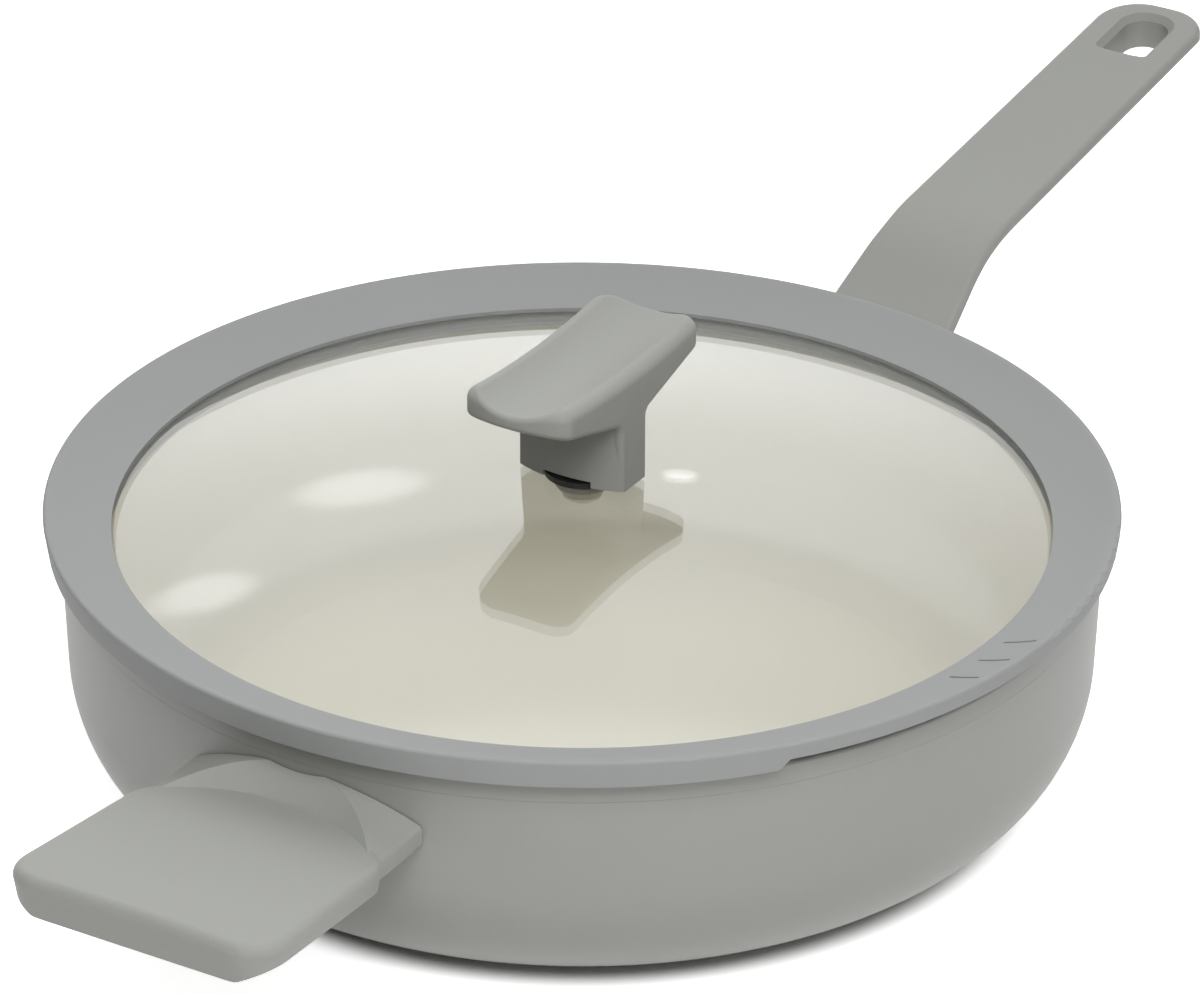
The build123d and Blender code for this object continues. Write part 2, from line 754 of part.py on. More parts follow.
def knob_valley():
    """Long scoop along the top of the bar that follows the saddle."""
    half_length = knob_length / 2
    saddle_radius = (half_length * half_length + knob_saddle * knob_saddle) / (2 * knob_saddle)
    half_width = knob_valley_half_width
    depth = knob_valley_depth
    scoop_radius = (half_width * half_width + depth * depth) / (2 * depth)
    floor = knob_crest_end - knob_saddle - depth
    axis_z = floor + saddle_radius
    circle = Plane.YZ * Pos(0, floor + scoop_radius) * Circle(scoop_radius)
    axis = Axis((0, 0, axis_z), (0, 1, 0))
    swing = 2 * half_length / saddle_radius / radians(1)
    swept = revolve(circle, axis, 2 * swing)
    return swept.rotate(axis, -swing)


def knob_plan():
    """Plan of the crossbar, with bowed ends and soft corners."""
    half = knob_length / 2
    side = knob_width / 2
    corner = half - knob_end_bow
    plan = make_face([
        Line((-corner, -side), (corner, -side)),
        ThreePointArc((corner, -side), (half, 0), (corner, side)),
        Line((corner, side), (-corner, side)),
        ThreePointArc((-corner, side), (-half, 0), (-corner, -side)),
    ])
    for x in (-corner, corner):
        for y in (-side, side):
            plan = round_corner(plan, (x, y), knob_end_round)
    return plan


def knob_bar():
    """The crossbar and the flat middle of the stem, soft at all outer edges."""
    bar = both_sides(knob_side(), knob_width / 2)
    bar &= extrude(knob_plan(), knob_crest_end + overrun)
    bar = fillet(bar.faces().sort_by(Axis.Z)[-1].edges(), knob_edge_round)
    level = knob_tip_underside + knob_under_round
    low = bar.edges().filter_by(lambda edge: edge.bounding_box().max.Z < level)
    bar = fillet(low.filter_by(lambda edge: abs(edge.center().X) > wing_root_x), knob_under_round)
    scooped = bar - knob_valley()
    return fillet(new_edges(bar, combined=scooped), knob_lip_round)


def make_knob():
    """Crossbar and stem in one moulding, hollow below, with a boss for the insert."""
    knob = knob_bar()
    stem_height = wing_root_underside + knob_wing_rise / 2 - knob_base_z
    knob += Pos(0, 0, knob_base_z) * extrude(stem_plan(0), stem_height)
    cavity = extrude(stem_plan(knob_wall), knob_cavity_depth)
    cavity -= Cylinder(knob_boss_radius, 4 * knob_cavity_depth)
    knob -= Pos(0, 0, knob_base_z) * cavity
    boss_face = glass_top + knob_washer_thickness
    recess = Cylinder(knob_washer_radius + washer_bore_clearance, 2 * (boss_face - knob_base_z))
    knob -= Pos(0, 0, knob_base_z) * recess
    notch = Box(2 * knob_length, knob_notch_width, 2 * knob_notch_height)
    knob -= Pos(0, 0, knob_base_z) * notch
    knob -= Pos(0, 0, boss_face) * Cylinder(
        insert_radius, insert_length, align=(Align.CENTER, Align.CENTER, Align.MIN))
    return knob


def axis_disc(radius, low, height, bore):
    """Disc on the lid's axis with a centre hole."""
    ends = (Align.CENTER, Align.CENTER, Align.MIN)
    disc = Cylinder(radius, height, align=ends)
    return Pos(0, 0, low) * (disc - Cylinder(bore, height, align=ends))


def make_knob_insert():
    """Brass threaded insert moulded into the knob's boss."""
    low = glass_top + knob_washer_thickness
    return axis_disc(insert_radius, low, insert_length, lid_screw_radius + insert_bore_clearance)


def glass_underside():
    """Height of the glass's lower face beside the centre hole."""
    return dome_z(seal_radius, glass_thickness)


def seal_low():
    """Height of the lower face of the seal under the glass."""
    return glass_underside() - seal_gap - seal_thickness


def make_lid_screw():
    """Pan-headed screw from below, through the glass into the knob."""
    washer_low = seal_low() - lid_washer_thickness
    ends = (Align.CENTER, Align.CENTER, Align.MIN)
    head = Cylinder(lid_screw_head_radius, lid_screw_head_height, align=ends)
    head = fillet(head.edges().sort_by(Axis.Z)[0], lid_screw_head_height / 2)
    cross = Box(lid_screw_radius * 2, lid_screw_radius / 2, lid_screw_head_height)
    head -= cross + Rot(0, 0, 90) * cross
    head = Pos(0, 0, washer_low - lid_screw_head_height) * head
    tip = glass_top + knob_washer_thickness + lid_screw_engagement
    shank = Cylinder(lid_screw_radius, tip - washer_low, align=ends)
    return head + Pos(0, 0, washer_low) * shank


def save(shape, name):
    """Write one named piece."""
    export_step(shape, os.path.join("parts", name + ".step"))


def main():
    os.makedirs("parts", exist_ok=True)
    plate = make_induction_plate()
    glass = make_glass_lid()
    shank_bore = lid_screw_radius + washer_bore_clearance
    washer_low = seal_low() - lid_washer_thickness
    pieces = {
        "pan_body": make_pan_body(plate),
        "induction_plate": plate,
        "long_handle_bracket": make_long_handle_bracket(long_screw_body(long_screw_radius)),
        "long_handle": make_long_handle(),
        "long_handle_screw": make_long_handle_screw(),
        "long_handle_screw_washer": make_long_handle_washer(),
        "helper_handle_bracket": make_helper_bracket(),
        "helper_handle": make_helper_handle(),
        "helper_handle_screws": make_helper_screws(),
        "helper_handle_screw_washers": make_helper_washers(),
        "glass_lid": glass,
        "silicone_rim": make_silicone_rim(glass),
        "knob": make_knob(),
        "knob_insert": make_knob_insert(),
        "knob_washer": axis_disc(knob_washer_radius, glass_top, knob_washer_thickness, shank_bore),
        "lid_screw_seal": axis_disc(seal_radius, seal_low(), seal_thickness, shank_bore),
        "lid_screw_washer": axis_disc(lid_washer_radius, washer_low, lid_washer_thickness, shank_bore),
        "lid_screw": make_lid_screw(),
    }
    for name, shape in pieces.items():
        save(shape, name)


if __name__ == "__main__":
    main()
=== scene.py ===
import math

import bpy
from bpy.props import FloatProperty, FloatVectorProperty, IntProperty, PointerProperty
from mathutils import Matrix, Vector


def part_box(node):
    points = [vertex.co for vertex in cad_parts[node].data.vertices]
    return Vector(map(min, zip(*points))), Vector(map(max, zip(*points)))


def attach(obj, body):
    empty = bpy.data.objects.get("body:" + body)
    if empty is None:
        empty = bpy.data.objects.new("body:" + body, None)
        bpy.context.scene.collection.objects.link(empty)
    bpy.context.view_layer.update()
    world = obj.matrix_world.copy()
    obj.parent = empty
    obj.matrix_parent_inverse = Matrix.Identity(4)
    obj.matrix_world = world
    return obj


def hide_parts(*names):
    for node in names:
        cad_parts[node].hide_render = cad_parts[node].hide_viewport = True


bl_info = {
    "name": "Saute Pan with Lid",
    "version": (1, 0, 0),
    "blender": (4, 5, 0),
    "location": "3D Viewport > Sidebar > Saute Pan",
    "description": "Finishes a saute pan and its glass lid around the packed model, piece by piece",
    "category": "Object",
}

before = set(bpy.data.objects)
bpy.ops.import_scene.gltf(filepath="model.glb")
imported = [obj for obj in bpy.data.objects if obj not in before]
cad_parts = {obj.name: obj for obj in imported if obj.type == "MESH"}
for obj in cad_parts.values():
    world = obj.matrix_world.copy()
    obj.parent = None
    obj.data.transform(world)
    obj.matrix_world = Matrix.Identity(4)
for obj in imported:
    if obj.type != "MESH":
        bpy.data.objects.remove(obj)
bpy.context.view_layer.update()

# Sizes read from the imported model, in metres
pan_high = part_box("pan_body")[1]
rim_radius = pan_high.x
pan_height = pan_high.z

# Grain, drift and gloss of a surface that sets none of its own
grain_size = 0.001
grain_detail = 3.0
grain_contrast = 0.6
drift_scale = 22.0
drift_detail = 2.0
tone_spread = 0.02
rough_spread = 0.04
plain_specular = 0.5


def colour_property(name, description, default):
    """A colour that the user picks, without alpha."""
    return FloatVectorProperty(name=name, description=description, default=default,
                               subtype="COLOR", size=3, min=0.0, max=1.0)


def length_property(name, description, default):
    """A length in metres, shown down to a micrometre."""
    return FloatProperty(name=name, description=description, default=default, precision=6, unit="LENGTH")


def angle_property(name, description, degrees):
    """An angle, given here in degrees."""
    return FloatProperty(name=name, description=description, default=math.radians(degrees), unit="ROTATION")


def number_property(name, description, default):
    """A plain number."""
    return FloatProperty(name=name, description=description, default=default)


class PanFinish(bpy.types.PropertyGroup):
    """Finish of the pan's shell."""
    outside: colour_property("Outside", "Matt lacquer on the outside of the pan", (0.345, 0.350, 0.330))
    inside: colour_property("Inside", "Ceramic coating on the inside of the pan", (0.80, 0.757, 0.635))
    outside_spread: number_property("Outside spread", "Drift in tone of the lacquer", 0.015)
    inside_spread: number_property("Inside spread", "Drift in tone of the ceramic", 0.01)
    rough_low: number_property("Least rough", "Lowest roughness of the lacquer", 0.46)
    rough_high: number_property("Most rough", "Highest roughness of the lacquer", 0.52)
    smoother: number_property("Smoother inside", "How much less rough the ceramic is", 0.32)
    grain: length_property("Grain", "Size of the lacquer's grain", 0.0011)
    grain_depth: length_property("Grain depth", "Depth of the lacquer's grain", 0.00004)
    wall: length_property("Wall", "Thickness of the pan's wall", 0.003)
    corner: length_property("Base corner", "Radius of the rounded base corner", 0.0373)
    lean: number_property("Lean", "How far the wall leans out for each metre of height", 0.035)


class MetalFinish(bpy.types.PropertyGroup):
    """Finish of the disc in the base, the brackets, the fasteners and the insert."""
    steel: colour_property("Steel", "Spun, stamped and screw steel", (0.56, 0.55, 0.53))
    brass: colour_property("Brass", "Turned brass of the knob's insert", (0.70, 0.50, 0.22))
    spread: number_property("Spread", "Drift in tone of all metals", 0.06)
    grain: length_property("Grain", "Size of the stamped or turned grain", 0.0006)
    grain_depth: length_property("Grain depth", "Depth of the stamped or turned grain", 0.00002)
    bracket_rough: number_property("Bracket roughness", "Roughness of the stamped brackets", 0.38)
    screw_rough: number_property("Screw roughness", "Roughness of screws and washers", 0.25)
    brass_rough: number_property("Brass roughness", "Roughness of the insert", 0.3)
    ring_scale: number_property("Ring scale", "How closely the disc's turned rings follow each other", 260.0)
    ring_distortion: number_property("Ring distortion", "How unevenly the rings run", 1.5)
    ring_detail: number_property("Ring detail", "Fineness of that unevenness", 2.0)
    ring_depth: length_property("Ring depth", "Depth of the turned rings", 0.00003)
    ring_rough_low: number_property("Least rough ring", "Lowest roughness of the disc", 0.28)
    ring_rough_high: number_property("Most rough ring", "Highest roughness of the disc", 0.40)


class GripFinish(bpy.types.PropertyGroup):
    """Finish of the soft-touch mouldings."""
    coat: colour_property("Soft touch", "Soft-touch coat on handles and knob", (0.352, 0.357, 0.335))
    rough: number_property("Roughness", "Roughness of the coat", 0.55)
    grain: length_property("Grain", "Size of the moulded grain", 0.0009)
    grain_depth: length_property("Grain depth", "Depth of the moulded grain", 0.00006)


class LidFinish(bpy.types.PropertyGroup):
    """Finish of the lid's glass, rim, washer and seal."""
    glass: colour_property("Glass", "Tint of the toughened glass", (0.985, 0.99, 0.985))
    glass_spread: number_property("Glass spread", "Drift in tone of the glass", 0.004)
    glass_grain: length_property("Glass grain", "Size of the pattern that the tone follows", 0.02)
    glass_rough: number_property("Glass roughness", "Highest roughness of the glass", 0.01)
    glass_bend: number_property("Glass index", "Index of refraction of the glass", 1.5)
    shade: colour_property("Shade", "Lamp light that the glass lets through", (0.50, 0.51, 0.50))
    silicone: colour_property("Silicone", "Grey silicone of the lid's rim", (0.372, 0.380, 0.377))
    silicone_rough: number_property("Silicone roughness", "Roughness of the rim", 0.6)
    silicone_specular: number_property("Silicone specular", "Strength of the rim's gloss", 0.2)
    washer: colour_property("Washer", "Black silicone under the knob", (0.012, 0.012, 0.012))
    washer_rough: number_property("Washer roughness", "Roughness of the knob's washer", 0.5)
    seal: colour_property("Seal", "Clear silicone under the glass", (0.32, 0.31, 0.27))
    seal_rough: number_property("Seal roughness", "Roughness of the lid screw's seal", 0.4)
    grain: length_property("Grain", "Size of the silicone's grain", 0.0007)
    grain_depth: length_property("Grain depth", "Depth of the silicone's grain", 0.00003)


class RimShape(bpy.types.PropertyGroup):
    """How the silicone rim is made round."""
    kept_from: angle_property("Kept from", "Angle where the packed part with the gap starts", -131.0)
    kept_to: angle_property("Kept to", "Angle where the packed part with the gap ends", -65.0)
    steps: IntProperty(name="Steps", description="Steps of the spun part", default=294, min=12)
    merge: length_property("Merge", "Distance within which packed corners merge", 0.000001)
    weld: length_property("Weld", "Distance within which both parts are welded", 0.00002)
    crease: angle_property("Crease", "Edges sharper than this stay sharp", 35.0)


class StageSettings(bpy.types.PropertyGroup):
    """Camera, floor and studio light."""
    camera_place: FloatVectorProperty(name="Camera", description="Place of the camera",
                                      default=(-1.44762, -0.87326, 0.96534), subtype="XYZ", unit="LENGTH")
    camera_aim: FloatVectorProperty(name="Aim", description="Point that the middle of the picture shows",
                                    default=(0.00248, -0.00414, 0.07978), subtype="XYZ", unit="LENGTH")
    camera_roll: angle_property("Roll", "Turn of the camera about its line of sight", 0.266)
    lens: number_property("Lens", "Focal length in millimetres", 210.0)
    camera_reach: length_property("Camera reach", "Distance up to which the camera sees", 50.0)
    tint: colour_property("Tint", "Colour of the surroundings", (0.975, 0.99, 1.0))
    surroundings: number_property("Surroundings", "Level of the light from all around", 0.02)
    backdrop: number_property("Backdrop", "Level of the backdrop as gloss mirrors it", 1.15)
    inside_light: number_property("Inside light", "Level of the surroundings through the glass", 0.3)
    glow: number_property("Glow", "Lift of the backdrop behind the pan", 0.65)
    glow_towards: FloatVectorProperty(name="Glow direction", description="Middle of the glow",
                                      default=(0.62, 0.62, 0.36), subtype="DIRECTION")
    glow_outer: angle_property("Glow outer", "Angle from its middle where the glow sets in", 42.0)
    glow_inner: angle_property("Glow inner", "Angle from its middle where the glow is full", 10.0)
    glint_core: number_property("Glint core", "Share of a glint's radius within which it is full", 0.3)
    lamp_powers: FloatVectorProperty(name="Lamps", description="Watts of the back, top, side and front panel",
                                     default=(50.0, 7.8, 1.6, 1.7), size=4)
    lamp_aim: FloatVectorProperty(name="Lamp aim", description="Point that all lamps face",
                                  default=(0.0, 0.0, 0.08), subtype="XYZ", unit="LENGTH")
    floor: colour_property("Floor", "Pale floor", (0.88, 0.88, 0.87))
    floor_radius: length_property("Floor radius", "Radius of the round floor", 6.0)
    floor_sides: IntProperty(name="Floor sides", description="Corners of the round floor", default=96, min=3)
    floor_rough: number_property("Floor roughness", "Roughness of the floor", 0.9)
    floor_specular: number_property("Floor specular", "Strength of the floor's gloss", 0.1)
    floor_glow: number_property("Floor glow", "Lift of the floor's white", 0.85)
    # The floor's glow rises between these distances from the axis; nearer the pan it is held back as painted
    # shade
    shade_start: length_property("Shade start", "Distance from the axis where the glow sets in", 0.1165)
    shade_end: length_property("Shade end", "Distance from the axis where the glow is full", 0.128)


# Name, place and size of each lamp panel
lamp_panels = (
    ("back_panel", (1.78, 0.83, 2.86), 2.4),
    ("top_panel", (-0.5, -0.5, 1.0), 0.6),
    ("side_panel", (-0.7, -0.1, 0.8), 0.5),
    ("front_panel", (-0.35, -1.25, 0.6), 0.8),
)

# Direction, angular radius and strength of each bright window that the glass mirrors
window_glints = (
    ((0.688, 0.565, 0.454), 0.048, 0.9),
    ((0.551, 0.612, 0.567), 0.042, 1.2),
    ((0.789, 0.410, 0.458), 0.013, 2.0),
)


def settings(group):
    """One of the property groups of the scene."""
    return getattr(bpy.context.scene, group)


def with_alpha(colour):
    """Four numbers for a colour socket."""
    return (*colour, 1.0)


def node(tree, kind, **values):
    """A shader node with its settings."""
    made = tree.nodes.new(kind)
    for name, value in values.items():
        setattr(made, name, value)
    return made


def set_values(made, values):
    """Constant values on a node's sockets, by their names."""
    for name, value in values.items():
        made.inputs[name].default_value = value


def math_node(tree, operation, *inputs):
    """A Math node fed by sockets or numbers, which returns its output."""
    made = node(tree, "ShaderNodeMath", operation=operation)
    for index, value in enumerate(inputs):
        if isinstance(value, bpy.types.NodeSocket):
            tree.links.new(value, made.inputs[index])
        else:
            made.inputs[index].default_value = value
    return made.outputs[0]


def hypotenuse(tree, one, other):
    """Length of the long side over two values at right angles."""
    squares = [math_node(tree, "MULTIPLY", value, value) for value in (one, other)]
    return math_node(tree, "SQRT", math_node(tree, "ADD", *squares))


def rays_of(tree, first, *others):
    """1 for rays of the named kinds and 0 for the rest."""
    rays = node(tree, "ShaderNodeLightPath")
    chosen = rays.outputs[first]
    for kind in others:
        chosen = math_node(tree, "MAXIMUM", chosen, rays.outputs[kind])
    return chosen


def smooth_step(tree, value, start, end):
    """A soft rise from 0 to 1 as a value runs from start to end."""
    rise = node(tree, "ShaderNodeMapRange", interpolation_type="SMOOTHSTEP")
    set_values(rise, {"From Min": start, "From Max": end})
    tree.links.new(value, rise.inputs["Value"])
    return rise.outputs["Result"]


def new_group(name, inputs, outputs):
    """An empty shader group with named sockets: (name, kind, default)."""
    group = bpy.data.node_groups.new(name, "ShaderNodeTree")
    for label, kind, default in inputs:
        socket = group.interface.new_socket(name=label, in_out="INPUT", socket_type=kind)
        socket.default_value = default
    for label, kind in outputs:
        group.interface.new_socket(name=label, in_out="OUTPUT", socket_type=kind)
    return group, node(group, "NodeGroupInput"), node(group, "NodeGroupOutput")


def moulded_grain():
    """Group: the fine spark-eroded grain of a moulding, with a slow drift in tone."""
    if "Moulded Grain" in bpy.data.node_groups:
        return bpy.data.node_groups["Moulded Grain"]
    group, given, out = new_group(
        "Moulded Grain",
        [("Size", "NodeSocketFloat", grain_size)],
        [("Height", "NodeSocketFloat"), ("Tone", "NodeSocketFloat")],
    )
    place = node(group, "ShaderNodeTexCoord")
    scale = math_node(group, "DIVIDE", 1.0, given.outputs["Size"])
    fine = node(group, "ShaderNodeTexNoise")
    set_values(fine, {"Detail": grain_detail, "Roughness": grain_contrast})
    group.links.new(place.outputs["Object"], fine.inputs["Vector"])
    group.links.new(scale, fine.inputs["Scale"])
    slow = node(group, "ShaderNodeTexNoise")
    set_values(slow, {"Scale": drift_scale, "Detail": drift_detail})
    group.links.new(place.outputs["Object"], slow.inputs["Vector"])
    group.links.new(fine.outputs["Fac"], out.inputs["Height"])
    group.links.new(slow.outputs["Fac"], out.inputs["Tone"])
    return group


def tinted(tree, tone, colour, spread):
    """Colour that drifts a little lighter and darker with a tone from 0 to 1."""
    ramp = node(tree, "ShaderNodeMix", data_type="RGBA")
    ramp.inputs["A"].default_value = with_alpha([c * (1 - spread) for c in colour])
    ramp.inputs["B"].default_value = with_alpha([min(1.0, c * (1 + spread)) for c in colour])
    tree.links.new(tone, ramp.inputs["Factor"])
    return ramp.outputs["Result"]


def between(tree, tone, low, high):
    """Value that runs from low to high as a tone runs from 0 to 1."""
    spread = node(tree, "ShaderNodeMapRange")
    set_values(spread, {"To Min": low, "To Max": high})
    tree.links.new(tone, spread.inputs["Value"])
    return spread.outputs["Result"]


def bump(tree, height, distance):
    """Normal of a surface raised by a height."""
    made = node(tree, "ShaderNodeBump")
    set_values(made, {"Strength": 1.0, "Distance": distance})
    tree.links.new(height, made.inputs["Height"])
    return made.outputs["Normal"]


def mixed(tree, factor, first, second):
    """The first shader where the factor is 0 and the second where it is 1."""
    mix = node(tree, "ShaderNodeMixShader")
    for socket, source in zip(mix.inputs, (factor, first, second)):
        tree.links.new(source, socket)
    return mix.outputs["Shader"]


def show_surface(tree, shader):
    """Make a shader the surface of its material."""
    tree.links.new(shader, tree.nodes["Material Output"].inputs["Surface"])


def new_material(name):
    """An empty material with its Principled BSDF."""
    made = bpy.data.materials.new(name)
    made.use_nodes = True
    return made, made.node_tree, made.node_tree.nodes["Principled BSDF"]


def grain_texture(tree, size):
    """The shared grain at one size, with its outputs Height and Tone."""
    texture = node(tree, "ShaderNodeGroup", node_tree=moulded_grain())
    set_values(texture, {"Size": size})
    return texture.outputs


def grained_material(name, colour, rough, grain, depth, spread=tone_spread, specular=plain_specular):
    """A moulded or cast surface: fine grain, slow drift in tone and roughness."""
    made, tree, shader = new_material(name)
    texture = grain_texture(tree, grain)
    tone = texture["Tone"]
    tree.links.new(tinted(tree, tone, colour, spread), shader.inputs["Base Color"])
    drift = between(tree, tone, rough - rough_spread, rough + rough_spread)
    tree.links.new(drift, shader.inputs["Roughness"])
    tree.links.new(bump(tree, texture["Height"], depth), shader.inputs["Normal"])
    set_values(shader, {"Specular IOR Level": specular})
    return made


def inside_mask(tree, finish):
    """1 on the cooking side of the pan's shell and 0 outside, parted in the middle of the wall."""
    place = node(tree, "ShaderNodeTexCoord")
    split = node(tree, "ShaderNodeSeparateXYZ")
    tree.links.new(place.outputs["Object"], split.inputs["Vector"])
    x, y, z = split.outputs
    foot_radius = rim_radius - finish.lean * pan_height
    wall_line = math_node(tree, "ADD", math_node(tree, "MULTIPLY", z, finish.lean), foot_radius)
    corner_line = math_node(tree, "SUBTRACT", wall_line, finish.corner)
    out_of_corner = math_node(tree, "SUBTRACT", hypotenuse(tree, x, y), corner_line)
    below_corner = math_node(tree, "SUBTRACT", finish.corner, z)
    reach = hypotenuse(tree, math_node(tree, "MAXIMUM", out_of_corner, 0.0),
                       math_node(tree, "MAXIMUM", below_corner, 0.0))
    return math_node(tree, "LESS_THAN", reach, finish.corner - finish.wall / 2)


def pan_shell_material():
    """Matt grey lacquer outside and glossy cream ceramic inside."""
    finish = settings("pan_finish")
    made, tree, shader = new_material("lacquer_and_ceramic")
    inside = inside_mask(tree, finish)
    texture = grain_texture(tree, finish.grain)
    tone = texture["Tone"]
    colour = node(tree, "ShaderNodeMix", data_type="RGBA")
    tree.links.new(inside, colour.inputs["Factor"])
    tree.links.new(tinted(tree, tone, finish.outside, finish.outside_spread), colour.inputs["A"])
    tree.links.new(tinted(tree, tone, finish.inside, finish.inside_spread), colour.inputs["B"])
    tree.links.new(colour.outputs["Result"], shader.inputs["Base Color"])
    lacquer = between(tree, tone, finish.rough_low, finish.rough_high)
    rough = math_node(tree, "SUBTRACT", lacquer, math_node(tree, "MULTIPLY", inside, finish.smoother))
    tree.links.new(rough, shader.inputs["Roughness"])
    outside = math_node(tree, "SUBTRACT", 1.0, inside)
    outside_height = math_node(tree, "MULTIPLY", texture["Height"], outside)
    tree.links.new(bump(tree, outside_height, finish.grain_depth), shader.inputs["Normal"])
    return made


def spun_steel_material():
    """Steel disc with the fine rings of a turned face."""
    finish = settings("metal_finish")
    made, tree, shader = new_material("spun_steel")
    place = node(tree, "ShaderNodeTexCoord")
    rings = node(tree, "ShaderNodeTexWave", wave_type="RINGS", rings_direction="Z")
    set_values(rings, {"Scale": finish.ring_scale, "Distortion": finish.ring_distortion,
                       "Detail": finish.ring_detail})
    tree.links.new(place.outputs["Object"], rings.inputs["Vector"])
    tone = rings.outputs["Fac"]
    tree.links.new(tinted(tree, tone, finish.steel, finish.spread), shader.inputs["Base Color"])
    rough = between(tree, tone, finish.ring_rough_low, finish.ring_rough_high)
    tree.links.new(rough, shader.inputs["Roughness"])
    tree.links.new(bump(tree, tone, finish.ring_depth), shader.inputs["Normal"])
    set_values(shader, {"Metallic": 1.0})
    return made


def metal_material(name, colour, rough):
    """Plain stamped or turned metal with a fine grain."""
    finish = settings("metal_finish")
    made = grained_material(name, colour, rough, finish.grain, finish.grain_depth, spread=finish.spread)
    set_values(made.node_tree.nodes["Principled BSDF"], {"Metallic": 1.0})
    return made


def glass_material():
    """Clear toughened glass. It only dims the lamps' light, so that the pan's inside stays lit."""
    finish = settings("lid_finish")
    made, tree, shader = new_material("lid_glass")
    tone = grain_texture(tree, finish.glass_grain)["Tone"]
    tree.links.new(tinted(tree, tone, finish.glass, finish.glass_spread), shader.inputs["Base Color"])
    tree.links.new(between(tree, tone, 0.0, finish.glass_rough), shader.inputs["Roughness"])
    set_values(shader, {"Transmission Weight": 1.0, "IOR": finish.glass_bend})
    dimmed = node(tree, "ShaderNodeBsdfTransparent")
    set_values(dimmed, {"Color": with_alpha(finish.shade)})
    shadow = rays_of(tree, "Is Shadow Ray")
    show_surface(tree, mixed(tree, shadow, shader.outputs["BSDF"], dimmed.outputs["BSDF"]))
    return made


def finish_node(name, made):
    """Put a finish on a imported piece, on all its slots."""
    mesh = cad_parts[name].data
    if not mesh.materials:
        mesh.materials.append(made)
    for index in range(len(mesh.materials)):
        mesh.materials[index] = made


